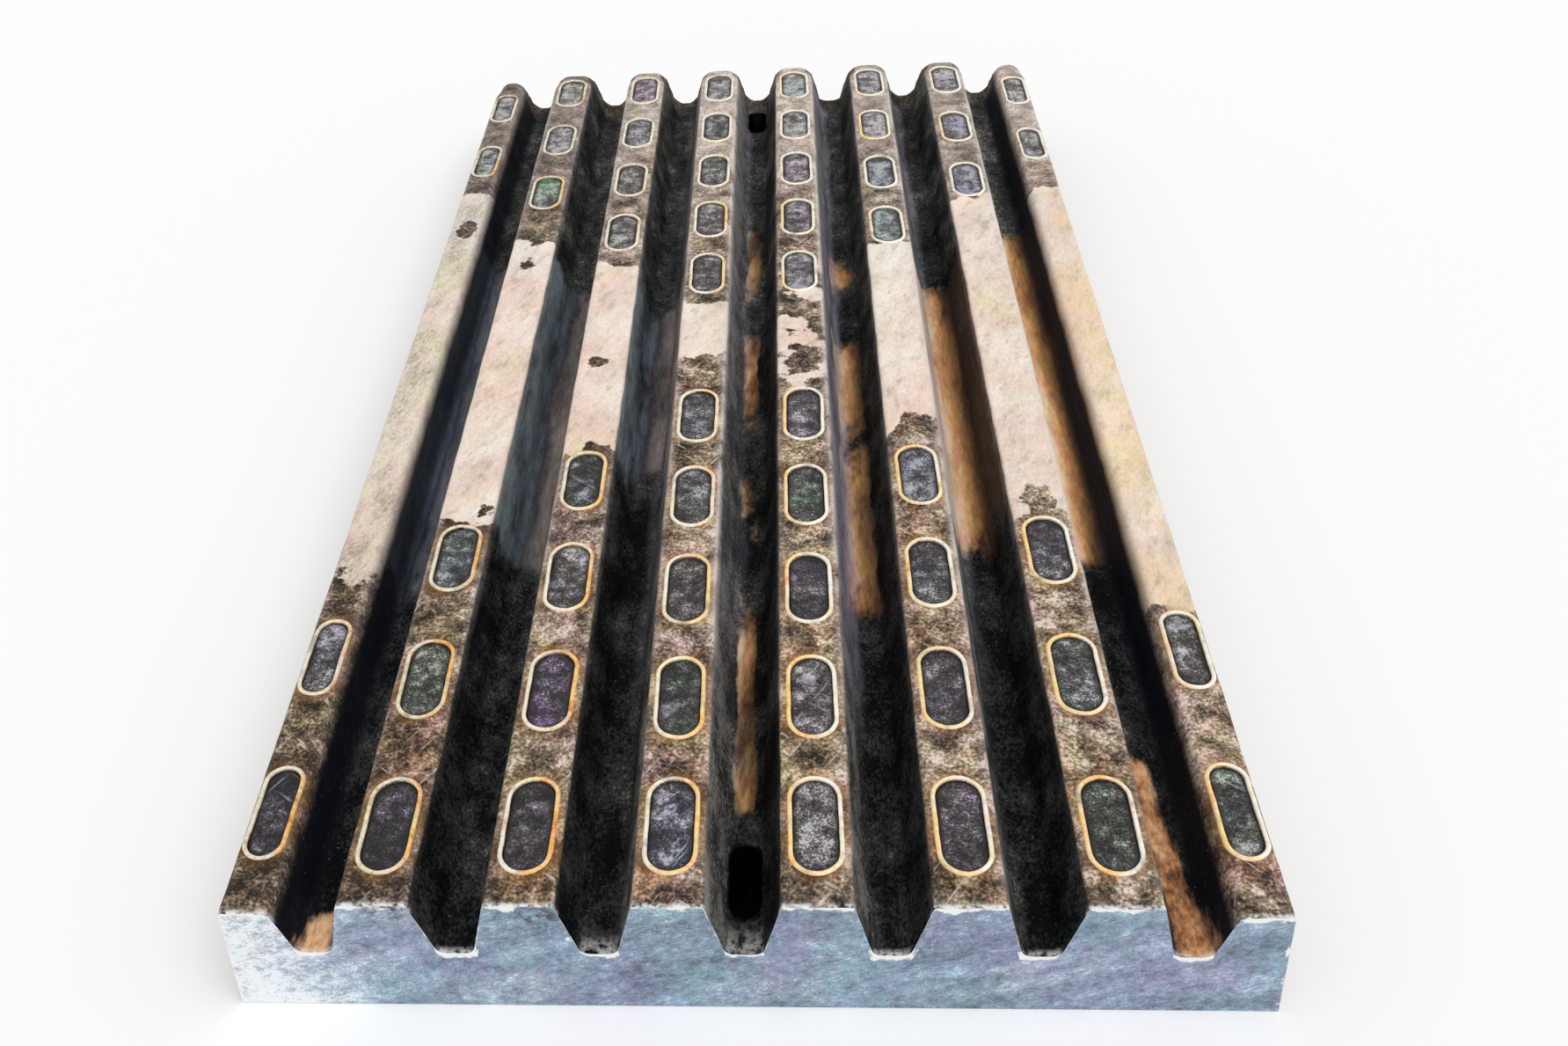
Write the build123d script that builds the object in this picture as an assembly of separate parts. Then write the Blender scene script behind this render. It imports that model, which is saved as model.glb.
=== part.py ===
from build123d import *
import math
import os

# Crusher jaw plate, lying on its back with the teeth up.
# X runs across the teeth, Y along them and Z up from the back, with the front end at -Y.
# The origin is the middle of the back, and all sizes are in millimetres.

# Plate
plate_length = 1480.0
base_thickness = 70.0
side_draft = 5.5  # degrees, the sides spread towards the back
end_roll = 16.0  # radius of the crest ends at the as-cast rear end

# Teeth and grooves
tooth_count = 8
tooth_pitch = 108.5
groove_depth = 60.0
crest_width = 52.0
edge_crest_width = 37.0
edge_drop = 10.5  # the two outer teeth are this much lower
groove_floor_width = 27.0
floor_radius = 8.0
crest_radius = 4.0

# Raised sill across the foot of each groove at the rear end
sill_length = 28.0
sill_rise = 8.0
sill_flat = 10.0  # level width in the middle of the groove
sill_shoulder = 10.0  # from the flat up to where it runs into the flanks
sill_root = 5.0  # how far it reaches into the metal around it

# Bolt slots through the centre groove, one near each end
slot_length = 66.0
slot_width = 24.0
slot_from_end = 65.0

# Relief between the seating lands on the back
relief_depth = 6.0
end_land = 150.0
centre_land = 120.0
side_land = 70.0

# Wear inserts, in pockets along the crests
insert_length = 86.0
insert_height = 35.0
insert_recess = 1.0  # below the crest
insert_end_flats = 6  # each half-round end is this many flats
crest_border = 8.5  # crest left on each side of an insert
edge_crest_border = 5.0
insert_from_end = 73.5
edge_insert_from_end = 94.5
insert_pitches = (170.0, 154.0, 140.0, 131.0)  # along a tooth, from the edge teeth to the centre teeth
bare_half_length = 120.0  # from the middle of a centre tooth to where its inserts may begin
chevron_step = 105.0  # more bare length on each tooth further out
insert_gap = 0.15

# Raised lip of casting metal around each pocket
lip_width = 4.5
lip_height = 2.0
lip_slope = 45.0  # degrees, on its outer side

# Worked out from the sizes above
crest_height = base_thickness + groove_depth
edge_height = crest_height - edge_drop
flank_slope = (tooth_pitch - crest_width - groove_floor_width) / 2 / groove_depth
outer_groove = (tooth_count - 2) / 2 * tooth_pitch


def groove_centre(groove):
    return groove * tooth_pitch - outer_groove


def groove_half_width(height):
    return groove_floor_width / 2 + (height - base_thickness) * flank_slope


crest_half_width = outer_groove + groove_half_width(edge_height) + edge_crest_width
base_half_width = crest_half_width + edge_height * math.tan(math.radians(side_draft))


def is_edge_tooth(tooth):
    return tooth in (0, tooth_count - 1)


def teeth_from_edge(tooth):
    return min(tooth, tooth_count - 1 - tooth)


def tooth_height(tooth):
    return edge_height if is_edge_tooth(tooth) else crest_height


def tooth_centre(tooth):
    if is_edge_tooth(tooth):
        return math.copysign(crest_half_width - edge_crest_width / 2, tooth - 1)
    return (tooth - (tooth_count - 1) / 2) * tooth_pitch


def tooth_section():
    """The plate's section across the teeth, with its crests and groove floors rounded."""
    outline = [(-base_half_width, 0), (-crest_half_width, edge_height)]
    for groove in range(tooth_count - 1):
        centre = groove_centre(groove)
        left, right = tooth_height(groove), tooth_height(groove + 1)
        outline += [
            (centre - groove_half_width(left), left),
            (centre - groove_floor_width / 2, base_thickness),
            (centre + groove_floor_width / 2, base_thickness),
            (centre + groove_half_width(right), right),
        ]
    outline += [(crest_half_width, edge_height), (base_half_width, 0)]
    section = Plane.XZ * make_face(Polyline(*outline, close=True))
    mid_groove = base_thickness + groove_depth / 2
    floors = section.vertices().filter_by(lambda v: base_thickness / 2 < v.Z < mid_groove)
    section = fillet(floors, floor_radius)
    crests = section.vertices().filter_by(lambda v: v.Z > mid_groove)
    return fillet(crests, crest_radius)


def end_roll_cut():
    """The corner taken off the crests where they roll over at the rear end."""
    across = 2 * base_half_width
    corner = Pos(0, plate_length / 2 - end_roll, crest_height - end_roll)
    block = corner * Box(across, end_roll, end_roll, align=(Align.CENTER, Align.MIN, Align.MIN))
    return block - corner * Rot(0, 90, 0) * Cylinder(end_roll, across)


def rear_sills():
    """Sills that make the rear ends of the grooves trough-shaped, each with a ramp up to it."""
    top = base_thickness + sill_rise
    shoulder = top + sill_shoulder
    reach = groove_half_width(shoulder)
    half = [
        (sill_flat / 2, top),
        (reach, shoulder),
        (reach + sill_root, shoulder),
        (reach + sill_root, base_thickness - sill_root),
    ]
    outline = Polyline(*half, *[(-x, z) for x, z in reversed(half)], close=True)
    bar = extrude(Plane.XZ * make_face(outline), -sill_length)
    ramp_run = sill_rise + sill_shoulder
    ramp = Polyline((0, base_thickness), (0, shoulder), (ramp_run, shoulder), close=True)
    bar -= extrude(Plane.YZ * make_face(ramp), reach + sill_root, both=True)
    start = plate_length / 2 - sill_length
    return [Pos(groove_centre(groove), start) * bar for groove in range(tooth_count - 1)]


def bolt_slots():
    slot = Rot(0, 0, 90) * SlotOverall(slot_length, slot_width)
    places = [Pos(0, end * (plate_length / 2 - slot_from_end)) for end in (-1, 1)]
    return extrude(Sketch() + [place * slot for place in places], crest_height)


def back_relief():
    """Two shallow panels that leave seating lands at the ends, at the sides and across the middle."""
    length = (plate_length - centre_land) / 2 - end_land
    panel = Rectangle(2 * (base_half_width - side_land), length)
    places = [Pos(0, side * (centre_land + length) / 2) for side in (-1, 1)]
    return extrude(Sketch() + [place * panel for place in places], relief_depth)


def insert_width(tooth):
    border = edge_crest_border if is_edge_tooth(tooth) else crest_border
    width = edge_crest_width if is_edge_tooth(tooth) else crest_width
    return width - 2 * border


def insert_outline(tooth, margin):
    """An insert's obround outline, lengthwise along Y, grown by margin all round."""
    radius = insert_width(tooth) / 2
    reach = insert_length / 2 - radius
    turns = [math.pi * step / insert_end_flats for step in range(insert_end_flats + 1)]
    half = [((radius + margin) * math.cos(a), reach + (radius + margin) * math.sin(a)) for a in turns]
    return make_face(Polyline(*half, *[(-x, -y) for x, y in half], close=True))


def insert_rows(tooth):
    """Distances of a tooth's inserts from the plate's middle, counted inwards from either end."""
    inwards = teeth_from_edge(tooth)
    pitch = insert_pitches[min(inwards, len(insert_pitches) - 1)]
    first = edge_insert_from_end if is_edge_tooth(tooth) else insert_from_end
    bare = bare_half_length + chevron_step * (tooth_count / 2 - 1 - inwards)
    count = int((plate_length / 2 - bare - first) / pitch) + 1
    return [plate_length / 2 - first - row * pitch for row in range(count)]


def insert_places(tooth):
    """Each insert's end, number and place on the crest of one tooth."""
    x, z = tooth_centre(tooth), tooth_height(tooth)
    for end, side in (("front", -1), ("rear", 1)):
        for row, y in enumerate(insert_rows(tooth), 1):
            yield end, row, Pos(x, side * y, z)


def insert(tooth):
    """One insert, drawn from the crest down to its pocket floor."""
    seat = Pos(0, 0, -insert_recess - insert_height)
    return extrude(seat * insert_outline(tooth, -insert_gap), insert_height)


def pocket(tooth):
    seat = Pos(0, 0, -insert_recess - insert_height)
    return extrude(seat * insert_outline(tooth, 0), insert_height + insert_recess + lip_height)


def pocket_lip(tooth):
    """The raised lip, rooted as deep as the crest edges are rounded."""
    outline = insert_outline(tooth, lip_width)
    return extrude(outline, lip_height, taper=lip_slope) + extrude(outline, -crest_radius)


def plate_casting():
    plate = extrude(tooth_section(), plate_length / 2, both=True) + rear_sills()
    plate -= [end_roll_cut(), bolt_slots(), back_relief()]
    for tooth in range(tooth_count):
        places = [place for end, row, place in insert_places(tooth)]
        plate += [place * pocket_lip(tooth) for place in places]
        plate -= [place * pocket(tooth) for place in places]
    return plate


os.makedirs("parts", exist_ok=True)
export_step(plate_casting(), "parts/plate_casting.step")
for tooth in range(tooth_count):
    for end, row, place in insert_places(tooth):
        export_step(place * insert(tooth), f"parts/insert_tooth_{tooth + 1}_{end}_{row}.step")
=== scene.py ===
import math

import bmesh
import bpy
import numpy as np
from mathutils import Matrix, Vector, noise


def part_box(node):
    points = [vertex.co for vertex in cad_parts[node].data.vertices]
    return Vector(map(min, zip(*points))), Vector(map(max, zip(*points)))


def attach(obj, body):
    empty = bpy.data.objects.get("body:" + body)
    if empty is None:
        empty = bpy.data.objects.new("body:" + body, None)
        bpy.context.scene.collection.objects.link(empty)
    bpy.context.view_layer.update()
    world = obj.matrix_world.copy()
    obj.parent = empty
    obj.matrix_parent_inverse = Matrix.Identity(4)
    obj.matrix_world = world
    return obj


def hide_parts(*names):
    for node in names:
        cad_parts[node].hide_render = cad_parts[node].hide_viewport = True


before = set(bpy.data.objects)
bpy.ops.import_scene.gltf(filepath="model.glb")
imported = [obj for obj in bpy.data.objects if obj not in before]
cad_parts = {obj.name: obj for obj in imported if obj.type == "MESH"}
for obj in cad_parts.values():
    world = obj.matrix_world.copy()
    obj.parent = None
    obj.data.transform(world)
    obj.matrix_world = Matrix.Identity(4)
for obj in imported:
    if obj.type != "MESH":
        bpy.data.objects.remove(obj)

mm = 0.001
scene = bpy.context.scene
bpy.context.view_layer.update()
plateLow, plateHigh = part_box("plate_casting")
insertBoxes = {name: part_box(name) for name in sorted(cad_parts) if name.startswith("insert_tooth_")}


def toothOf(insertName):
    return int(insertName.split("_")[2]) - 1


toothCount = 1 + max(toothOf(name) for name in insertBoxes)
print("frame loaded,", toothCount, "teeth,", len(insertBoxes), "inserts")


# small helpers for meshes

def linkMesh(name, mesh):
    obj = bpy.data.objects.new(name, mesh)
    scene.collection.objects.link(obj)
    return obj


def frozenMesh(obj, name):
    # the evaluated shape as a plain mesh
    graph = bpy.context.evaluated_depsgraph_get()
    mesh = bpy.data.meshes.new_from_object(obj.evaluated_get(graph))
    mesh.name = name
    return mesh


def planOf(box):
    # a box seen from above: its middle, then its width and length
    low, high = box
    return ((low.x + high.x) / 2, (low.y + high.y) / 2), (high.x - low.x, high.y - low.y)


def vertexPlaces(mesh):
    places = np.empty(len(mesh.vertices) * 3)
    mesh.vertices.foreach_get("co", places)
    return places.reshape(-1, 3)


def addValues(mesh, name, values):
    layer = mesh.attributes.new(name, "FLOAT", "POINT")
    layer.data.foreach_set("value", np.asarray(values, float))


def ripple(places, size, shift):
    # smooth noise from -1 to 1 at every place, with bumps about this size
    offset = Vector((shift, shift * 1.7, shift * 0.6))
    return np.array([noise.noise(Vector(place) / size + offset) for place in places])


def ramp(values, low, high):
    t = np.clip((values - low) / (high - low), 0, 1)
    return t * t * (3 - 2 * t)


def obroundRing(width, length, margin, height, arcSteps, sideSteps):
    # one closed ring round an insert, lengthwise along Y, grown by margin
    radius = width / 2 + margin
    reach = (length - width) / 2
    ring = []
    for half in (1, -1):
        for step in range(arcSteps + 1):
            turn = math.pi * step / arcSteps
            ring.append((half * radius * math.cos(turn), half * (reach + radius * math.sin(turn)), height))
        for step in range(1, sideSteps):
            ring.append((-half * radius, half * reach * (1 - 2 * step / sideSteps), height))
    return ring


def loftRings(mesh, rings, closed):
    # skins the rings in order, then joins last to first or caps both ends
    verts = [place for ring in rings for place in ring]
    size = len(rings[0])
    faces = []
    for level in range(len(rings) if closed else len(rings) - 1):
        lower, upper = level * size, (level + 1) % len(rings) * size
        for step in range(size):
            follow = (step + 1) % size
            faces.append((lower + step, lower + follow, upper + follow, upper + step))
    if not closed:
        faces.append(tuple(range(size))[::-1])
        faces.append(tuple(range(len(verts) - size, len(verts))))
    mesh.from_pydata(verts, [], faces)
    outward(mesh)
    return mesh


def outward(mesh):
    work = bmesh.new()
    work.from_mesh(mesh)
    bmesh.ops.recalc_face_normals(work, faces=work.faces)
    work.to_mesh(mesh)
    work.free()


# small helpers for node trees

def srgb(red, green, blue):
    # colours are written as they look, 0 to 255
    def linear(value):
        value /= 255
        return value / 12.92 if value <= 0.04045 else ((value + 0.055) / 1.055) ** 2.4
    return (linear(red), linear(green), linear(blue), 1.0)


class Pen:
    # draws nodes into one tree, from numbers, colours and other nodes' sockets

    def __init__(self, tree):
        self.tree = tree

    def feed(self, value, socket):
        if isinstance(value, bpy.types.NodeSocket):
            self.tree.links.new(value, socket)
        else:
            socket.default_value = value

    def add(self, kind, inputs=None, **settings):
        node = self.tree.nodes.new(kind)
        for key, value in settings.items():
            setattr(node, key, value)
        for key, value in (inputs or {}).items():
            self.feed(value, node.inputs[key])
        return node

    def calc(self, operation, *values):
        result = values[0]
        for value in values[1:]:
            result = self.add("ShaderNodeMath", {0: result, 1: value}, operation=operation).outputs[0]
        return result

    def plus(self, *values):
        return self.calc("ADD", *values)

    def minus(self, *values):
        return self.calc("SUBTRACT", *values)

    def times(self, *values):
        return self.calc("MULTIPLY", *values)

    def smooth(self, value, low, high):
        node = self.add("ShaderNodeMapRange", {"Value": value, "From Min": low, "From Max": high},
                        interpolation_type="SMOOTHSTEP")
        return node.outputs["Result"]

    def mix(self, factor, a, b, blend="MIX"):
        a, b = [srgb(*colour) if isinstance(colour, tuple) else colour for colour in (a, b)]
        node = self.add("ShaderNodeMix", {0: factor, 6: a, 7: b}, data_type="RGBA", blend_type=blend)
        return node.outputs[2]

    def lay(self, colour, top, *masks):
        # one colour over another, as far as all the masks let it
        return self.mix(self.times(*masks), colour, top)

    def tinted(self, colour, tint, *masks):
        # the tint's hue at the colour's own brightness
        return self.mix(self.times(*masks), colour, tint, "COLOR")

    def tones(self, value, stops):
        # colours along a value, each stop being a place from 0 to 1 and a colour
        node = self.add("ShaderNodeValToRGB", {"Fac": value})
        points = node.color_ramp.elements
        points.remove(points[1])
        points[0].position = stops[0][0]
        points[0].color = srgb(*stops[0][1])
        for spot, colour in stops[1:]:
            points.new(spot).color = srgb(*colour)
        return node.outputs["Color"]

    def attribute(self, name):
        return self.add("ShaderNodeAttribute", attribute_name=name).outputs["Fac"]

    def axes(self, place):
        return self.add("ShaderNodeSeparateXYZ", {0: place}).outputs

    def noise(self, place, scale, detail=4.0, roughness=0.55):
        inputs = {"Vector": place, "Scale": scale, "Detail": detail, "Roughness": roughness}
        return self.add("ShaderNodeTexNoise", inputs).outputs["Fac"]

    def swing(self, place, scale, detail=4.0, roughness=0.55):
        # noise round zero
        return self.minus(self.noise(place, scale, detail, roughness), 0.5)

    def stretched(self, place, scale, turn=0.0):
        # turn is about the upright axis, in degrees
        turned = self.add("ShaderNodeMapping", {"Vector": place, "Rotation": (0, 0, math.radians(turn))})
        return self.add("ShaderNodeMapping", {"Vector": turned.outputs[0], "Scale": scale}).outputs[0]

    def group(self, name, inputs):
        node = self.tree.nodes.new("ShaderNodeGroup")
        node.node_tree = bpy.data.node_groups[name]
        for key, value in inputs.items():
            self.feed(value, node.inputs[key])
        return node.outputs

    def patch(self, place, scale, amount, softness=0.08):
        inputs = {"Place": place, "Scale": scale, "Amount": amount, "Softness": softness}
        return self.group("blotches", inputs)["Mask"]

    def mottled(self, place, scale, grain=9.0, fine=0.35, spread=0.15):
        inputs = {"Place": place, "Scale": scale, "Grain": grain, "Fine": fine, "Spread": spread}
        return self.group("mottle", inputs)

    def dress(self, values, height, strength, distance):
        # the surface's values, and a bump from a height
        bump = self.add("ShaderNodeBump", {"Height": height, "Strength": strength, "Distance": distance})
        shader = self.tree.nodes["Principled BSDF"]
        for label, value in {**values, "Normal": bump.outputs["Normal"]}.items():
            self.feed(value, shader.inputs[label])


# shader effects that several finishes share

def newGroup(name, numbers, results):
    # every group reads a place and some numbers
    tree = bpy.data.node_groups.new(name, "ShaderNodeTree")
    tree.interface.new_socket("Place", in_out="INPUT", socket_type="NodeSocketVector")
    for label, value in numbers.items():
        socket = tree.interface.new_socket(label, in_out="INPUT", socket_type="NodeSocketFloat")
        socket.default_value = value
    for label, kind in results.items():
        tree.interface.new_socket(label, in_out="OUTPUT", socket_type=kind)
    return Pen(tree), tree.nodes.new("NodeGroupInput").outputs, tree.nodes.new("NodeGroupOutput").inputs


def makeBlotches():
    # ragged patches, from none at Amount 0 to all over at 1
    pen, given, result = newGroup(
        "blotches", {"Scale": 20.0, "Amount": 0.5, "Softness": 0.08}, {"Mask": "NodeSocketFloat"})
    cloud = pen.noise(given["Place"], given["Scale"], 6.0, 0.62)
    level = pen.minus(0.78, pen.times(given["Amount"], 0.56))
    low, high = pen.minus(level, given["Softness"]), pen.plus(level, given["Softness"])
    pen.feed(pen.smooth(cloud, low, high), result["Mask"])


def makeMottle():
    # a cloudy tone from 0 to 1 with fine grain in it, and a grainy hue round mid grey
    pen, given, result = newGroup(
        "mottle", {"Scale": 60.0, "Grain": 9.0, "Fine": 0.35, "Spread": 0.14},
        {"Tone": "NodeSocketFloat", "Hue": "NodeSocketColor"})
    place = given["Place"]
    fineScale = pen.times(given["Scale"], given["Grain"])
    coarse = pen.noise(place, given["Scale"], 7.0, 0.68)
    fine = pen.noise(place, fineScale, 3.0, 0.6)
    both = pen.plus(coarse, pen.times(pen.minus(fine, coarse), given["Fine"]))
    tone = pen.calc("DIVIDE", pen.minus(both, 0.5), pen.times(given["Spread"], 2.0))
    pen.feed(pen.plus(tone, 0.5), result["Tone"])
    hueInputs = {"Vector": place, "Scale": pen.times(fineScale, 0.6), "Detail": 3.0, "Roughness": 0.7}
    pen.feed(pen.add("ShaderNodeTexNoise", hueInputs).outputs["Color"], result["Hue"])


def makeScratches():
    # thin short marks in two directions
    pen, given, result = newGroup("scratches", {"Scale": 240.0}, {"Mask": "NodeSocketFloat"})
    marks = []
    for turn, length in ((34.0, 0.07), (-52.0, 0.11)):
        drawn = pen.stretched(given["Place"], (1.0, length, 1.0), turn)
        marks.append(pen.smooth(pen.noise(drawn, given["Scale"], 3.0, 0.6), 0.63, 0.71))
    pen.feed(pen.calc("MAXIMUM", *marks), result["Mask"])


def makeCastGrain():
    # pitted cast surface: a height for bump, and sparse pale flecks
    pen, given, result = newGroup(
        "castGrain", {"Scale": 260.0}, {"Height": "NodeSocketFloat", "Fleck": "NodeSocketFloat"})
    place, scale = given["Place"], given["Scale"]
    coarse = pen.noise(place, pen.times(scale, 0.2), 3.0, 0.5)
    fine = pen.noise(place, scale, 4.0, 0.65)
    pen.feed(pen.plus(coarse, pen.times(fine, 0.5)), result["Height"])
    sparse = pen.noise(place, pen.times(scale, 1.4), 2.0, 0.5)
    pen.feed(pen.smooth(sparse, 0.73, 0.79), result["Fleck"])


for makeGroup in (makeBlotches, makeMottle, makeScratches, makeCastGrain):
    makeGroup()


def newFinish(name):
    material = bpy.data.materials.new(name)
    material.use_nodes = True
    pen = Pen(material.node_tree)
    return material, pen, pen.add("ShaderNodeTexCoord").outputs["Object"]


crestLook = {
    "oxide": ((0.0, (32, 27, 21)), (0.25, (76, 65, 51)), (0.5, (124, 108, 86)), (0.75, (172, 155, 129)),
              (1.0, (228, 216, 196))),
    # where the oxide gets lighter across or along the plate: axis, from, to and gain
    "oxideShifts": (("X", -0.4, -0.1, 0.2), ("X", 0.1, 0.25, 0.05), ("Y", -0.7, -0.58, 0.12),
                    ("Y", -0.42, -0.28, -0.1), ("Y", 0.1, 0.6, 0.31)),
    "olive": (122, 118, 66),
    "mauve": (146, 112, 128),
    "rust": (166, 106, 60),
    "pale": ((0.0, (172, 157, 141)), (0.3, (216, 201, 185)), (0.6, (232, 218, 203)), (1.0, (246, 238, 228))),
    "pink": (242, 200, 190),
    "straw": (240, 210, 150),
    "moss": (198, 210, 176),
    "scratch": (240, 232, 220),
    "smudge": (150, 132, 112),
    "farOxide": (160, 151, 146),
    "farPale": (232, 230, 222),
    "ringStain": (152, 104, 46),
    "edge": (214, 202, 196),
    "skin": ((0.0, (38, 34, 31)), (0.5, (84, 77, 69)), (1.0, (146, 136, 124))),
}
grooveLook = {
    # across a groove, from its inner crest edge at 0 to its outer one at 1; the bare colours are lighter on
    # the inner flank as painted light and darker towards the outer flank as painted shade
    "warm": ((0.0, (254, 238, 222)), (0.22, (250, 222, 198)), (0.38, (216, 170, 126)), (0.52, (172, 126, 80)),
             (0.66, (110, 82, 56)), (0.8, (50, 40, 33)), (1.0, (72, 58, 47))),
    "cold": ((0.0, (154, 134, 122)), (0.22, (128, 118, 114)), (0.45, (92, 96, 102)), (0.62, (46, 51, 62)),
             (0.8, (96, 108, 118)), (1.0, (114, 124, 126))),
    "coat": ((0.0, (1, 1, 2)), (0.45, (15, 16, 17)), (0.75, (62, 63, 62)), (1.0, (136, 133, 127))),
    "shade": (20, 22, 29),
    "slate": (116, 132, 132),
    "lilac": (152, 138, 160),
    "sill": ((0.0, (28, 25, 22)), (0.5, (70, 64, 56)), (1.0, (128, 119, 107))),
    "rust": ((0.0, (74, 50, 38)), (0.3, (150, 104, 72)), (0.6, (212, 150, 104)), (1.0, (250, 206, 160))),
    "fleck": (218, 214, 206),
    "chipped": (236, 236, 234),
}


def crestColour(pen, place, axes, wander):
    # dark mottled oxide, with the pale bare middle inside a ragged border
    look = crestLook
    far = pen.smooth(axes["Y"], 0.1, 0.6)
    grain = pen.mottled(place, 44.0, 8.0, 0.3, 0.116)
    tone = pen.minus(grain["Tone"], 0.27, pen.times(pen.minus(grain["Tone"], 0.5), far, 0.5))
    for axis, low, high, gain in look["oxideShifts"]:
        tone = pen.plus(tone, pen.times(pen.smooth(axes[axis], low, high), gain))
    oxide = pen.tones(pen.plus(tone, pen.attribute("oxideTone")), look["oxide"])
    oxide = pen.mix(0.5, oxide, grain["Hue"], "OVERLAY")
    for name, scale, amount in (("olive", 15.0, 0.3), ("mauve", 18.0, 0.44), ("rust", 12.0, 0.34)):
        oxide = pen.tinted(oxide, look[name], pen.patch(place, scale, amount, 0.16), 0.45)
    oxide = pen.tinted(oxide, look["farOxide"], far, 0.6)
    marks = pen.group("scratches", {"Place": place, "Scale": 230.0})["Mask"]
    oxide = pen.lay(oxide, look["scratch"], marks, 0.45)

    drag = pen.stretched(place, (1.0, 0.4, 1.0), 18.0)
    grain = pen.mottled(drag, 30.0, 14.0, 0.4, 0.16)
    leftwards, rightwards = pen.smooth(axes["X"], -0.28, -0.38), pen.smooth(axes["X"], 0.29, 0.37)
    tone = pen.minus(pen.plus(grain["Tone"], 0.12), pen.times(leftwards, 0.25))
    pale = pen.tones(tone, look["pale"])
    pale = pen.mix(0.3, pale, grain["Hue"], "OVERLAY")
    pale = pen.tinted(pale, look["farPale"], pen.smooth(axes["Y"], 0.05, 0.3), 0.75)
    tints = (("pink", 9.0, 0.46, 0.0, rightwards), ("straw", 8.0, 0.26, 0.3, rightwards),
             ("moss", 8.0, 0.18, 0.2, leftwards))
    for name, scale, least, more, side in tints:
        amount = pen.plus(pen.times(side, more), least)
        pale = pen.tinted(pale, look[name], pen.patch(place, scale, amount, 0.16), 0.6)
    pale = pen.lay(pale, look["smudge"], pen.patch(drag, 90.0, 0.3, 0.1), 0.45)
    pale = pen.lay(pale, look["scratch"], marks, 0.35)

    border = pen.plus(pen.attribute("crestBare"), wander)
    crest = pen.mix(pen.smooth(border, -2 * mm, 3 * mm), oxide, pale)
    stained = pen.patch(place, 34.0, 0.5, 0.2)
    return pen.lay(crest, look["ringStain"], pen.attribute("ringStain"), stained, 0.6)


def grooveColour(pen, place, axes):
    # near-black coat, worn through along the middle, with painted light on its inner flank and painted shade
    # on its outer side
    look = grooveLook
    streak = pen.stretched(place, (1.0, 0.2, 1.0))
    side = pen.attribute("grooveSide")
    wavy = pen.plus(side, pen.times(pen.swing(streak, 34.0, 5.0, 0.6), 0.45))
    grain = pen.mottled(streak, 44.0, 7.0)
    bare = pen.mix(pen.attribute("warmGroove"), pen.tones(wavy, look["cold"]), pen.tones(wavy, look["warm"]))
    for part in ("Tone", "Hue"):
        bare = pen.mix(0.5, bare, grain[part], "OVERLAY")
    tone = pen.mottled(pen.stretched(place, (1.0, 0.7, 0.8)), 26.0, 16.0, 0.36, 0.24)["Tone"]
    tone = pen.plus(tone, pen.times(pen.smooth(wavy, 0.46, 0.06), 0.36))  # lit inner flank
    tone = pen.plus(tone, pen.times(pen.smooth(axes["Y"], -0.2, 0.5), 0.14))
    coat = pen.tones(pen.minus(tone, pen.smooth(side, 1.5, 2.5)), look["coat"])  # painted shade: near black inside the slots
    # dark patches laid over the bare metal
    darkBlots = pen.patch(pen.stretched(place, (1.0, 0.22, 1.0), 8.0), 30.0, pen.attribute("darkBlotShare"), 0.12)
    bare = pen.lay(bare, coat, darkBlots, 0.85)
    ragged = pen.swing(pen.stretched(place, (1.0, 0.45, 1.0), 12.0), 30.0, 6.0, 0.6)
    edge = pen.plus(pen.attribute("grooveBare"), pen.times(ragged, 210 * mm))
    groove = pen.mix(pen.smooth(edge, -18 * mm, 26 * mm), coat, bare)

    # painted skylight: a slate and lilac strip on the lit inner flank
    lit = pen.mix(pen.patch(place, 8.0, 0.5, 0.2), look["slate"], look["lilac"])
    lit = pen.mix(0.6, lit, grain["Tone"], "OVERLAY")
    strip = pen.patch(streak, 16.0, 0.75, 0.2)
    groove = pen.lay(groove, lit, strip, pen.smooth(wavy, 0.46, 0.26), pen.attribute("skyLitFlank"))
    # painted shadow: a dark blue band on the outer side of the two outermost grooves
    groove = pen.lay(groove, look["shade"], pen.attribute("softEdge"), pen.smooth(side, 0.5, 0.8), 0.85)
    sill = pen.tones(pen.mottled(place, 60.0, 6.0)["Tone"], look["sill"])
    groove = pen.lay(groove, sill, pen.smooth(axes["Y"], plateHigh.y - 36 * mm, plateHigh.y - 18 * mm))
    fresh = pen.times(pen.smooth(axes["X"], -0.2, -0.3), 0.2)  # brighter in the first groove
    tone = pen.mottled(pen.stretched(place, (1.0, 0.5, 1.0)), 40.0, 7.0, 0.3, 0.13)["Tone"]
    rusty = pen.tones(pen.plus(tone, 0.16, fresh), look["rust"])
    frayed = pen.swing(pen.stretched(place, (1.0, 0.35, 1.0)), 60.0, 6.0, 0.65)
    stained = pen.attribute("rust")
    rust = pen.smooth(pen.plus(stained, pen.times(frayed, 2.4)), 0.25, 0.95)
    return pen.lay(groove, rusty, rust, pen.smooth(stained, 0.02, 0.3), 0.9)


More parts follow.
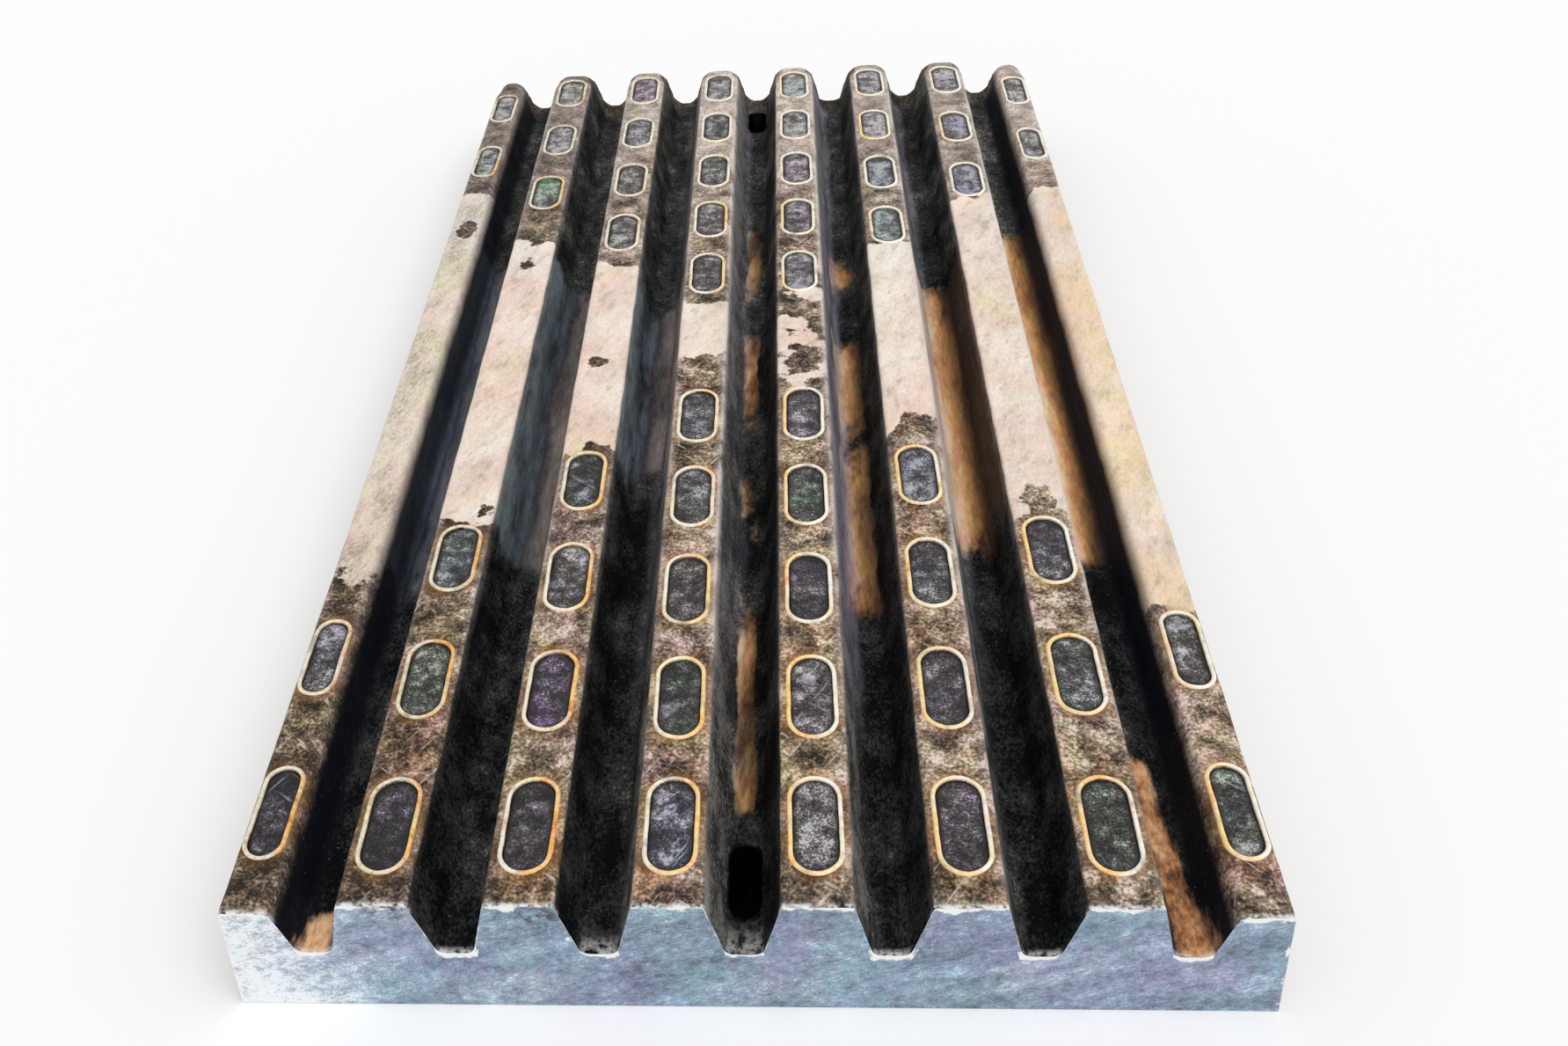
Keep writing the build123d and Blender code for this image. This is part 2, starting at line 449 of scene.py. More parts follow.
def castingFinish():
    material, pen, place = newFinish("castManganese")
    axes = pen.axes(place)
    grain = pen.group("castGrain", {"Place": place, "Scale": 300.0})
    wander = pen.times(pen.swing(place, 22.0, 5.0, 0.52), 128 * mm)
    crest = crestColour(pen, place, axes, wander)
    groove = grooveColour(pen, place, axes)

    # the coat stops near the crest edges, and fades out on the rounder edges of the outer teeth
    depth = pen.plus(pen.attribute("grooved"), pen.times(wander, 0.05))
    deep = pen.plus(4.5 * mm, pen.times(pen.attribute("softEdge"), 14 * mm))
    coated = pen.smooth(depth, 1 * mm, deep)
    colour = pen.mix(coated, crest, groove)
    worn = pen.patch(place, 45.0, 0.62, 0.16)
    # crest edges: worn metal, partly a painted highlight
    colour = pen.lay(colour, crestLook["edge"], pen.attribute("edgeWearAndHighlight"), worn, 0.8)
    colour = pen.lay(colour, grooveLook["fleck"], grain["Fleck"], 0.5)
    chips = pen.patch(place, 190.0, 0.52, 0.12)
    colour = pen.lay(colour, grooveLook["chipped"], pen.attribute("frontEdge"), chips)

    # the sides, the rear end and the back keep a plain cast skin
    skin = pen.tones(pen.mottled(place, 24.0, 12.0, 0.45, 0.2)["Tone"], crestLook["skin"])
    skin = pen.tinted(skin, crestLook["rust"], pen.patch(place, 9.0, 0.42, 0.2), 0.4)
    skinned = pen.plus(pen.attribute("asCast"), pen.times(wander, 12.0))
    colour = pen.mix(pen.smooth(skinned, 0.35, 0.65), colour, skin)

    sheen = pen.minus(0.2, pen.times(coated, 0.16))
    surface = {"Base Color": colour, "Roughness": 0.72, "Specular IOR Level": sheen}
    pen.dress(surface, grain["Height"], 0.6, 1.5 * mm)
    return material


frontLook = {
    # ground steel grey, its blue cast a painted sky reflection
    "skyTintedSteel": ((0.0, (84, 90, 108)), (0.3, (124, 134, 154)), (0.55, (152, 163, 178)), (0.8, (190, 199, 209)),
              (1.0, (238, 241, 243))),
    "teal": (120, 166, 176),
    "violet": (150, 140, 192),
    "rim": (240, 241, 241),
    "chip": (58, 52, 50),
    "grindTilt": 24.0,  # degrees
}


def frontFinish():
    look = frontLook
    material, pen, place = newFinish("groundFrontEnd")
    tilt = (0, math.radians(look["grindTilt"]), 0)
    tilted = pen.add("ShaderNodeMapping", {"Vector": place, "Rotation": tilt}).outputs[0]
    brushed = pen.stretched(tilted, (0.45, 1.0, 1.3))
    fine = pen.mottled(place, 110.0, 5.0, 0.45, 0.09)
    coarseTone = pen.times(pen.mottled(brushed, 24.0, 12.0, 0.35, 0.11)["Tone"], 0.55)
    bright = pen.attribute("brightEnd")
    tone = pen.plus(coarseTone, pen.times(fine["Tone"], 0.45), pen.times(bright, 0.5))
    skyTintedSteel = pen.tones(pen.minus(tone, 0.04), look["skyTintedSteel"])
    dull = pen.minus(1.0, bright)
    for name, scale in (("violet", 8.0), ("teal", 9.5)):
        skyTintedSteel = pen.tinted(skyTintedSteel, look[name], pen.patch(place, scale, 0.5, 0.2), dull, 0.6)
    skyTintedSteel = pen.mix(0.6, skyTintedSteel, fine["Hue"], "OVERLAY")
    sparks = pen.group("castGrain", {"Place": place, "Scale": 230.0})["Fleck"]
    skyTintedSteel = pen.lay(skyTintedSteel, look["rim"], sparks, 0.7)
    # the front rim: chipped bright metal, partly a painted highlight along the edge
    ragged = pen.times(pen.swing(place, 110.0, 5.0, 0.65), 15 * mm)
    uneven = pen.times(pen.swing(place, 34.0, 2.0), 22 * mm)  # the rim is wider in places
    rim = pen.plus(pen.attribute("rimDistance"), ragged, uneven)
    skyTintedSteel = pen.lay(skyTintedSteel, look["rim"], pen.smooth(rim, 5.2 * mm, 2.6 * mm))
    skyTintedSteel = pen.lay(skyTintedSteel, look["chip"], pen.attribute("darkChips"), pen.patch(place, 75.0, 0.5, 0.06))
    surface = {"Base Color": skyTintedSteel, "Roughness": 0.5, "Metallic": 0.1}
    pen.dress(surface, pen.noise(brushed, 300.0, 4.0, 0.65), 0.35, 0.8 * mm)
    return material


lipLook = {
    "cream": ((0.0, (128, 112, 90)), (0.3, (208, 192, 164)), (0.6, (242, 232, 210)), (1.0, (254, 252, 246))),
    "gold": ((0.0, (138, 82, 40)), (0.3, (214, 144, 72)), (0.6, (248, 192, 118)), (1.0, (255, 232, 184))),
    "yellow": (214, 200, 90),
    "grime": (84, 70, 54),
}


def lipFinish():
    look = lipLook
    material, pen, place = newFinish("pocketLipMetal")
    grain = pen.mottled(place, 46.0, 7.0, 0.3, 0.16)
    gold = pen.attribute("gold")
    tone = pen.plus(grain["Tone"], pen.times(pen.smooth(pen.axes(place)["X"], -0.34, 0.1), 0.36))
    amount = pen.plus(gold, pen.times(pen.attribute("lipSide"), pen.attribute("goldSide"), 0.3))
    colour = pen.mix(pen.patch(place, 20.0, amount, 0.16), pen.tones(tone, look["cream"]),
                     pen.tones(tone, look["gold"]))
    yellowish = pen.patch(place, 17.0, 0.34, 0.12)
    colour = pen.tinted(colour, look["yellow"], yellowish, pen.smooth(gold, 0.0, 0.25), 0.5)
    colour = pen.lay(colour, look["grime"], pen.patch(place, 46.0, 0.3, 0.12), 0.65)
    colour = pen.mix(0.4, colour, grain["Hue"], "OVERLAY")
    surface = {"Base Color": colour, "Roughness": 0.5, "Specular IOR Level": 0.35}
    pen.dress(surface, grain["Tone"], 0.35, 0.9 * mm)
    return material


insertLook = {
    "body": ((0.0, (14, 13, 13)), (0.35, (58, 53, 52)), (0.6, (92, 86, 85)), (0.85, (138, 133, 131)),
             (1.0, (196, 192, 190))),
    "violet": (128, 76, 150),
    "green": (70, 128, 66),
    "blue": (70, 84, 150),
    "smear": (206, 208, 220),
    # gap: painted shade round the insert's wall
    "gap": (20, 17, 16),
}


def insertFinish():
    look = insertLook
    material, pen, place = newFinish("hardInsert")
    grain = pen.mottled(place, 70.0, 8.0, 0.36, 0.11)
    worn = pen.times(pen.minus(pen.patch(place, 24.0, 0.5, 0.2), 0.4), 0.4)  # lighter in places
    tone = pen.plus(grain["Tone"], pen.minus(pen.attribute("bright"), 0.5), worn)
    colour = pen.tones(tone, look["body"])
    for name, scale in (("violet", 21.0), ("green", 23.0), ("blue", 19.0)):
        mask = pen.patch(place, scale, 0.55, 0.22)
        colour = pen.tinted(colour, look[name], mask, pen.attribute(name))
    marks = pen.group("scratches", {"Place": place, "Scale": 200.0})["Mask"]
    wiped = pen.calc("MAXIMUM", pen.patch(place, 48.0, 0.3, 0.06), pen.times(marks, 0.7))
    colour = pen.lay(colour, look["smear"], wiped, pen.attribute("smear"))
    colour = pen.mix(0.6, colour, grain["Hue"], "OVERLAY")
    # painted shade: darker round the insert's wall, where the lip shades it
    colour = pen.lay(colour, look["gap"], pen.smooth(pen.attribute("fromWall"), 6 * mm, 0.5 * mm), 0.85)
    surface = {"Base Color": colour, "Roughness": 0.55, "Specular IOR Level": 0.3}
    pen.dress(surface, grain["Tone"], 0.5, 0.9 * mm)
    return material


# the casting

plateForm = {
    "floorHeight": 70 * mm,
    "floorWidth": 27 * mm,
    "floorRadius": 10 * mm,
    "crestWidth": 52 * mm,
    "edgeCrestWidth": 37 * mm,
    "crestRadius": 4 * mm,
    "softEdgeRadius": 8 * mm,  # inner edges of the two outer crests
    "rearRoll": 16 * mm,
    "rearSoftening": 6 * mm,
    "shoulderDrop": 10 * mm,  # crest edges at the rear end
    "shoulderRun": 60 * mm,
    "shoulderReach": 16 * mm,  # to either side of a crest edge
    "shoulderFoot": 30 * mm,  # above the groove floor
    "trueBand": 12 * mm,  # above the back, left as it is
    "sillLength": 28 * mm,
    "sillRise": 8 * mm,
    "sillFlat": 10 * mm,
    "sillShoulder": 10 * mm,
    "sillShares": (1, 1, 1, 1, 0.5, 1, 1),  # of that height, by groove
    "insertRecess": 1 * mm,
    "pocketGap": 0.15 * mm,
    "slotLength": 66 * mm,
    "slotWidth": 24 * mm,
    "slotFromEnd": 65 * mm,
    "reliefDepth": 6 * mm,
    "endLand": 150 * mm,
    "centreLand": 120 * mm,
    "sideLand": 70 * mm,
    "crestStep": 5.2 * mm,  # mesh spacing
    "flankStep": 10 * mm,
    "alongStep": 7 * mm,
    "bendSteps": 4,
    "frontRows": (0, 1, 2.2, 4, 6.5, 10),  # mm behind the front edge
    "endLevels": (0.985, 0.965, 0.93, 0.88, 0.8, 0.68, 0.54, 0.4, 0.27, 0.14, 0),  # shares of an end's height
    "unevenness": 0.55 * mm,
    "chipDepth": 2.2 * mm,
    "smoothAngle": 38.0,  # degrees
}

plateWear = {
    # where the metal is bare, as stretches in mm from the front end
    "bareCrests": ([(356, 1121)], [(436, 964)], [(540, 894)], [(716, 814)],
                   [(655, 828)], [(565, 936)], [(445, 1053)], [(315, 1095)]),
    "bareGrooves": ([(400, 1010)], [(430, 950)], [(560, 900)],
                    [(122, 361), (487, 538), (671, 821), (943, 1089)],
                    [(371, 591), (645, 803), (937, 986)], [(442, 917)], [(409, 1062)]),
    "mottledCrests": {3: 22, 4: 1},  # partly covered, less so with a higher limit in mm
    "bareFloors": {3: 0.14, 4: 0.27},  # grooves that are bare along their floor alone, and its half width
    "floorMiddle": 0.46,  # across a groove, as in grooveLook
    # darker or lighter oxide towards the rear, by tooth
    "rearTones": (-0.1, -0.12, 0, 0.04, 0.02, -0.09, -0.13, -0.04),
    # shares by groove
    "warm": (0, 0.1, 0.1, 1, 1, 1, 1),
    "slate": (0, 0, 0.15, 0.2, 0.85, 0.3, 0),
    "darkBlots": (0.26, 0.36, 0.42, 0.5, 0.32, 0.26, 0.3),
    "flecks": (0.05, 0.1, 0.6, 1, 0.1, 0.1, 0.05),  # pale specks behind the front edge
    # oxide left on the bare crests: x, from front, half width, half length, in mm
    "oxideIslands": ((-374, 380, 13, 5), (-364, 1021, 12, 22), (-277, 946, 9, 24), (-158, 700, 10, 5),
                     (160, 578, 15, 24), (-52, 705, 18, 14), (275, 452, 15, 24)),
    # rust in the grooves: x and from front of both ends, then radius, in mm
    "rustStreaks": ((-326, 0, -322, 22, 26), (330, 0, 314, 175, 19)),
    "darkChips": ((-262, 122), (-150, 118)),  # on the front end: x and height, in mm
}

firstInserts = [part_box(f"insert_tooth_{tooth + 1}_front_1") for tooth in range(toothCount)]
toothCentres = np.array([planOf(box)[0][0] for box in firstInserts])
crestHeights = np.array([high.z + plateForm["insertRecess"] for low, high in firstInserts])
toothPitch = toothCentres[2] - toothCentres[1]
grooveCentres = (np.arange(toothCount - 1) - (toothCount - 2) / 2) * toothPitch
outwards = np.where(np.arange(toothCount - 1) < (toothCount - 2) / 2, -1, 1)  # a groove's outer side
crestEnd = toothCentres[-1] + plateForm["edgeCrestWidth"] / 2
flankSlope = ((toothPitch - plateForm["crestWidth"] - plateForm["floorWidth"]) / 2
              / (crestHeights[1] - plateForm["floorHeight"]))


def grooveHalfWidth(height):
    return plateForm["floorWidth"] / 2 + (height - plateForm["floorHeight"]) * flankSlope


def crestCorner(groove, side):
    height = crestHeights[groove if side < 0 else groove + 1]
    return grooveCentres[groove] + side * grooveHalfWidth(height), height


def plateCorners():
    # corners of the tooth section from left to right, each with its rounding
    form = plateForm
    corners = [(plateLow.x, 0, 0), (-crestEnd, crestHeights[0], form["crestRadius"])]
    for groove, centre in enumerate(grooveCentres):
        leftSoft, rightSoft = groove == 0, groove == toothCount - 2
        corners += [
            (*crestCorner(groove, -1), form["softEdgeRadius"] if leftSoft else form["crestRadius"]),
            (centre - form["floorWidth"] / 2, form["floorHeight"], form["floorRadius"]),
            (centre + form["floorWidth"] / 2, form["floorHeight"], form["floorRadius"]),
            (*crestCorner(groove, 1), form["softEdgeRadius"] if rightSoft else form["crestRadius"]),
        ]
    return corners + [(crestEnd, crestHeights[-1], form["crestRadius"]), (plateHigh.x, 0, 0)]


def roundedOutline(corners):
    # the section as closely spaced points, with its corners rounded
    form = plateForm
    spots = [np.array(corner[:2]) for corner in corners]
    outline = [spots[0]]
    for index in range(1, len(corners)):
        corner, radius = spots[index], corners[index][2]
        start = end = corner
        if radius:
            arriving = (corner - spots[index - 1]) / np.linalg.norm(corner - spots[index - 1])
            leaving = (spots[index + 1] - corner) / np.linalg.norm(spots[index + 1] - corner)
            reach = radius * math.tan(math.acos(arriving @ leaving) / 2)
            start, end = corner - arriving * reach, corner + leaving * reach
        last = outline[-1]
        run = start - last
        step = form["flankStep"] if abs(run[1]) > abs(run[0]) else form["crestStep"]
        count = max(1, round(np.linalg.norm(run) / step))
        outline += [last + run * k / count for k in range(1, count + 1)]
        for k in range(1, form["bendSteps"] + 1 if radius else 1):
            s = k / form["bendSteps"]
            outline.append((1 - s) ** 2 * start + 2 * s * (1 - s) * corner + s * s * end)
    return np.array(outline)


def lengthRows():
    # rows along the plate, close together at the front edge, on the sills and round the rear roll
    form = plateForm
    front = plateLow.y + np.array(form["frontRows"]) * mm
    roll = plateHigh.y - form["rearRoll"] * (1 - np.sin(np.radians(np.linspace(0, 90, 9))))
    climb = np.linspace(plateHigh.y - form["sillLength"] - 4 * mm, roll[0], 6)
    count = round((climb[0] - front[-1]) / form["alongStep"])
    return np.concatenate([front, np.linspace(front[-1], climb[0], count + 1)[1:-1], climb[:-1], roll])


def crestEdges():
    # x of every crest edge, and how bright its line is: worn metal with a painted highlight, brightest on the
    # inner edges of the right-hand grooves
    edges, shine = [-crestEnd, crestEnd], [0.3, 0.3]
    for groove in range(toothCount - 1):
        for side in (-1, 1):
            edges.append(crestCorner(groove, side)[0])
            shine.append(0.25 if side == outwards[groove] else 1.0 if outwards[groove] > 0 else 0.45)
    return np.array(edges), np.array(shine)


def quarterDrop(depth, radius):
    # how far a rounded end falls, depth being how far into its radius
    return radius - np.sqrt(np.maximum(radius ** 2 - np.clip(depth, 0, radius) ** 2, 0))


def sillHeights(outline, fromRear):
    # the trough that each groove runs out into at the rear end
    form = plateForm
    gaps = np.abs(outline[:, :1] - grooveCentres)
    gap, share = gaps.min(1), np.array(form["sillShares"])[gaps.argmin(1)]
    reach = grooveHalfWidth(form["floorHeight"] + form["sillRise"] + form["sillShoulder"])
    climb = np.clip((gap - form["sillFlat"] / 2) / (reach - form["sillFlat"] / 2), 0, 1.15) ** 1.5
    bowl = (form["sillRise"] + form["sillShoulder"] * climb) * share * (gap < reach + 2 * mm)
    return form["floorHeight"] + bowl[:, None] * ramp(fromRear, form["sillLength"], 8 * mm)


def plateHeights(outline, rows):
    form = plateForm
    fromRear = plateHigh.y - rows
    ceiling = crestHeights.max() - quarterDrop(form["rearRoll"] - fromRear, form["rearRoll"])
    heights = np.minimum(outline[:, 1:2], ceiling)
    soft = quarterDrop(form["rearSoftening"] - fromRear, form["rearSoftening"])
    shoulder = ramp(fromRear, form["shoulderRun"], 0) * form["shoulderDrop"]
    edgeGap = np.abs(outline[:, :1] - crestEdges()[0]).min(1)
    nearEdge = np.clip(1 - edgeGap / form["shoulderReach"], 0, 1) ** 2
    nearEdge *= outline[:, 1] > form["floorHeight"] + form["shoulderFoot"]
    inGroove = (outline[:, 1] >= form["floorHeight"] - 1 * mm) & (np.abs(outline[:, 0]) < crestEnd)
    lowered = heights - nearEdge[:, None] * shoulder
    lowered = np.where(inGroove[:, None], np.maximum(lowered, sillHeights(outline, fromRear)), lowered) - soft
    return np.where(outline[:, 1:2] > form["trueBand"], lowered, heights)


def plateBlock():
    # closed skin: toothed top, two end faces that share its edge, and a flat back
    outline, rows = roundedOutline(plateCorners()), lengthRows()
    heights = plateHeights(outline, rows)
    columns, lines = heights.shape
    x = np.repeat(outline[:, :1], lines, 1)
    y = np.repeat(rows[None, :], columns, 0)
    verts = np.stack([x, y, heights], 2).reshape(-1, 3).tolist()
    faces = []
    for i in range(columns - 1):
        for j in range(lines - 1):
            a = i * lines + j
            faces.append((a, a + lines, a + lines + 1, a + 1))
    levels = plateForm["endLevels"]
    feet = {}
    for line in (0, lines - 1):
        strips = [[line] * (len(levels) + 1)]
        for i in range(1, columns - 1):
            first = len(verts)
            verts += [(outline[i, 0], rows[line], heights[i, line] * level) for level in levels]
            strips.append([i * lines + line, *range(first, len(verts))])
        strips.append([(columns - 1) * lines + line] * (len(levels) + 1))
        for left, right in zip(strips, strips[1:]):
            for k in range(len(levels)):
                ring = list(dict.fromkeys((left[k], right[k], right[k + 1], left[k + 1])))
                if len(ring) > 2:
                    faces.append(ring)
        feet[line] = [strip[-1] for strip in strips[1:-1]]
    leftFoot = list(range(lines))
    rightFoot = list(range((columns - 1) * lines, columns * lines))
    faces.append(leftFoot + feet[lines - 1] + rightFoot[::-1] + feet[0][::-1])
    mesh = bpy.data.meshes.new("plateBlock")
    mesh.from_pydata(verts, [], faces)
    outward(mesh)
    return mesh, outline


def cutterMesh():
    # bolt slots, relief panels on the back, and the insert pockets
    form = plateForm
    work = bmesh.new()

    def addPrism(centre, ring, low, high):
        for level in (low, high):
            placed = [work.verts.new((centre[0] + p[0], centre[1] + p[1], level)) for p in ring]
            work.faces.new(placed)
            if level == low:
                foot = placed
        for k in range(len(ring)):
            work.faces.new((foot[k - 1], foot[k], placed[k], placed[k - 1]))

    slotRing = obroundRing(form["slotWidth"], form["slotLength"], 0, 0, 14, 1)
    length = (plateHigh.y - plateLow.y - form["centreLand"]) / 2 - form["endLand"]
    halfWidth = plateHigh.x - form["sideLand"]
    panel = [(sx * halfWidth, sy * length / 2) for sx, sy in ((-1, -1), (1, -1), (1, 1), (-1, 1))]
    clear, slotTop = 20 * mm, 200 * mm  # past the surfaces that are cut
    for side in (-1, 1):
        addPrism((0, side * (plateHigh.y - form["slotFromEnd"])), slotRing, -clear, slotTop)
        addPrism((0, side * (form["centreLand"] + length) / 2), panel, -clear, form["reliefDepth"])
    for low, high in insertBoxes.values():
        middle, size = planOf((low, high))
        addPrism(middle, obroundRing(*size, form["pocketGap"], 0, 12, 4), low.z, high.z + clear)
    bmesh.ops.recalc_face_normals(work, faces=work.faces)
    mesh = bpy.data.meshes.new("plateCutters")
    work.to_mesh(mesh)
    work.free()
    return mesh


def ringDistance(places):
    # plan distance outside the nearest insert's outline
    nearest = np.full(len(places), 1.0)
    for box in insertBoxes.values():
        (x, y), (width, length) = planOf(box)
        along = np.maximum(np.abs(places[:, 1] - y) - (length - width) / 2, 0)
        nearest = np.minimum(nearest, np.hypot(places[:, 0] - x, along) - width / 2)
    return nearest


def stretchDistance(fromFront, stretches):
    # how far inside the nearest bare stretch, negative outside
    inside = [np.minimum(fromFront - a * mm, b * mm - fromFront) for a, b in stretches]
    return np.max(inside, 0)


def insideSlot(places):
    form = plateForm
    along = np.abs(np.abs(places[:, 1]) - (plateHigh.y - form["slotFromEnd"]))
    along = np.maximum(along - (form["slotLength"] - form["slotWidth"]) / 2, 0)
    return np.hypot(places[:, 0], along) < form["slotWidth"] / 2 + 1 * mm


def nearestTooth(places):
    return np.abs(places[:, :1] - toothCentres).argmin(1)


def shapeCasting(mesh):
    # uneven cast surface and a chipped front edge
    form = plateForm
    places = vertexPlaces(mesh)
    normals = np.empty(len(mesh.vertices) * 3)
    mesh.vertex_normals.foreach_get("vector", normals)
    depth = crestHeights[nearestTooth(places)] - places[:, 2]
    beside = ramp(ringDistance(places), 5 * mm, 10 * mm)
    free = ramp(places[:, 2], 12 * mm, 40 * mm) * np.where(depth < 12 * mm, beside, 1)
    free *= ramp(places[:, 1] - plateLow.y, 0, 8 * mm)
    free[insideSlot(places)] = 0
    swell = ripple(places, 60 * mm, 3) + 0.6 * ripple(places, 18 * mm, 11)
    places += normals.reshape(-1, 3) * (free * swell * form["unevenness"])[:, None]

    fromFront = places[:, 1] - plateLow.y
    crestFront = ramp(fromFront, 5 * mm, 0) * ramp(depth, 9 * mm, 1 * mm)
    bite = np.maximum(ripple(places, 11 * mm, 5) + 0.5 * ripple(places, 5 * mm, 8) - 0.05, 0) + 0.18
    places[:, 2] -= crestFront * bite * form["chipDepth"]
    mesh.vertices.foreach_set("co", places.ravel())
    mesh.update()
    return places


def bareOnCrests(places, tooth, fromFront):
    # how far inside the bare middle of its crest each place is
    bare = np.zeros(len(places))
    for k, stretches in enumerate(plateWear["bareCrests"]):
        bare[tooth == k] = stretchDistance(fromFront[tooth == k], stretches)
    for k, limit in plateWear["mottledCrests"].items():
        bare[tooth == k] = np.minimum(bare[tooth == k], limit * mm)
    for x, along, halfWidth, halfLength in plateWear["oxideIslands"]:
        away = np.hypot((places[:, 0] - x * mm) / halfWidth, (fromFront - along * mm) / halfLength)
        bare = np.minimum(bare, (away / mm - 1) * min(halfWidth, halfLength) * 2 * mm)
    return bare


def bareInGrooves(groove, grooveSide, fromFront):
    # how far inside a bare stretch of its groove each place is
    bare = np.zeros(len(groove))
    for k, stretches in enumerate(plateWear["bareGrooves"]):
        bare[groove == k] = stretchDistance(fromFront[groove == k], stretches)
    for k, halfWidth in plateWear["bareFloors"].items():
        alongFloor = (halfWidth - np.abs(grooveSide - plateWear["floorMiddle"])) * 0.6
        bare[groove == k] = np.minimum(bare, alongFloor)[groove == k]
    return bare


def streakValue(places, fromFront, x0, along0, x1, along1, radius):
    # 1 along a line on the plan, fading to 0 at the radius
    start, run = np.array([x0, along0]) * mm, np.array([x1 - x0, along1 - along0]) * mm
    gap = np.stack([places[:, 0], fromFront], 1) - start
    share = np.clip(gap @ run / (run @ run), 0, 1)
    return ramp(np.linalg.norm(gap - share[:, None] * run, axis=1), radius * mm, 0.05 * radius * mm)


def frontRim(places, onFront, outline):
    # distance below the crest and groove-floor edges of the front end, large beside the flanks
    tangent = np.gradient(outline, axis=0)
    steep = np.abs(tangent[:, 1]) > np.abs(tangent[:, 0])
    rim = np.full(len(places), 0.1)
    for part in np.array_split(onFront, 12):
        gap = places[part][:, None, [0, 2]] - outline[None, :, :]
        away = np.hypot(gap[..., 0], gap[..., 1])
        rim[part] = away.min(1) + 4 * mm * steep[away.argmin(1)]
    return rim


def describeCasting(mesh, places, outline):
    # values that the finishes read
    form, wear = plateForm, plateWear
    x, height = places[:, 0], places[:, 2]
    tooth = nearestTooth(places)
    groove = np.abs(places[:, :1] - grooveCentres).argmin(1)
    depth = np.maximum(crestHeights[tooth] - height, 0)
    fromFront = places[:, 1] - plateLow.y
    fromCentre = (x - grooveCentres[groove]) * outwards[groove]
    grooveSide = 0.5 + 0.5 * fromCentre / grooveHalfWidth(crestHeights[1])
    inSlot = insideSlot(places)
    inside = (np.abs(x) < crestEnd - 1 * mm) & (height > form["floorHeight"] - 8 * mm)

    edges, shine = crestEdges()
    edgeGaps = np.abs(places[:, :1] - edges)
    edgeLine = ramp(edgeGaps.min(1), 5 * mm, 1 * mm) * ramp(depth, 10 * mm, 3 * mm)
    edgeLine *= shine[edgeGaps.argmin(1)] * (0.2 + 0.8 * ramp(fromFront, 150 * mm, 400 * mm))
    flecked = np.array(wear["flecks"])[groove]
    onFloor = ramp(np.abs(height - form["floorHeight"]), 6 * mm, 2 * mm)
    onFloor *= ramp(fromFront / (4 * mm + 26 * mm * flecked), 1, 0.1) * (0.75 - 0.35 * flecked)
    frontEdge = ramp(fromFront, 5 * mm, 0.5 * mm) * ramp(depth, 12 * mm, 4 * mm)
    outerSide = (np.abs(x) > crestEnd - 2 * mm) * ramp(depth, 3 * mm, 18 * mm)
    rearEnd = ramp(places[:, 1], plateHigh.y - 10 * mm, plateHigh.y - 1 * mm)
    asCast = np.max([outerSide, rearEnd, ramp(height, 50 * mm, 30 * mm)], 0) * ~inSlot
    ringStain = ramp(ringDistance(places), 14 * mm, 4 * mm) * (depth < 8 * mm)
    chipGaps = [np.hypot(x - chipX * mm, (height - chipZ * mm) * 1.6) for chipX, chipZ in wear["darkChips"]]
    values = {
        "asCast": asCast,
        "oxideTone": np.array(wear["rearTones"])[tooth] * ramp(fromFront, 800 * mm, 1150 * mm),
        "darkBlotShare": np.array(wear["darkBlots"])[groove],
        "grooved": np.where(inside | inSlot, depth, 0),
        "crestBare": bareOnCrests(places, tooth, fromFront),
        "grooveBare": bareInGrooves(groove, grooveSide, fromFront),
        "grooveSide": np.where(inSlot, 3, grooveSide),  # past 1, so that the slots get their own near-black colour, painted shade of the holes
        "warmGroove": np.array(wear["warm"])[groove],
        # how much of the slate strip, painted skylight on the inner flank, each groove gets
        "skyLitFlank": np.array(wear["slate"])[groove] * ramp(fromFront, 160 * mm, 460 * mm),
        # where the two outermost grooves get a painted shadow band and a wider coat edge
        "softEdge": np.isin(groove, (0, toothCount - 2)) * ramp(fromCentre, 4 * mm, 14 * mm),
        "ringStain": ringStain * ramp(fromFront, 900 * mm, 300 * mm),
        "rust": np.max([streakValue(places, fromFront, *streak) for streak in wear["rustStreaks"]], 0),
        "edgeWearAndHighlight": edgeLine,
        "frontEdge": np.maximum(frontEdge, onFloor),
        "rimDistance": frontRim(places, np.flatnonzero(fromFront < 0.2 * mm), outline),
        "brightEnd": ramp(x, -230 * mm, -390 * mm),
        "darkChips": ramp(np.min(chipGaps, 0), 26 * mm, 8 * mm),
    }
    for name, layer in values.items():
        addValues(mesh, name, layer)


def buildCasting():
    block, outline = plateBlock()
    blank = linkMesh("plateBlank", block)
    cutter = linkMesh("plateCutter", cutterMesh())
    cut = blank.modifiers.new("pocketsAndSlots", "BOOLEAN")
    cut.operation = "DIFFERENCE"
    cut.solver = "EXACT"
    cut.object = cutter
    mesh = frozenMesh(blank, "castingSkin")
    for helper in (blank, cutter):
        bpy.data.objects.remove(helper)
    describeCasting(mesh, shapeCasting(mesh), outline)
    mesh.materials.clear()
    mesh.materials.append(castingFinish())
    mesh.materials.append(frontFinish())
    for face in mesh.polygons:
        face.material_index = int(face.normal.y < -0.8 and face.center.y < plateLow.y + 0.5 * mm)
    mesh.shade_smooth()
    mesh.set_sharp_from_angle(angle=math.radians(plateForm["smoothAngle"]))
    skin = linkMesh("castingSkin", mesh)
    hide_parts("plate_casting")
    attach(skin, "root")
    print("casting skin:", len(mesh.polygons), "faces")


# lips and inserts, set along the crests by one node tree

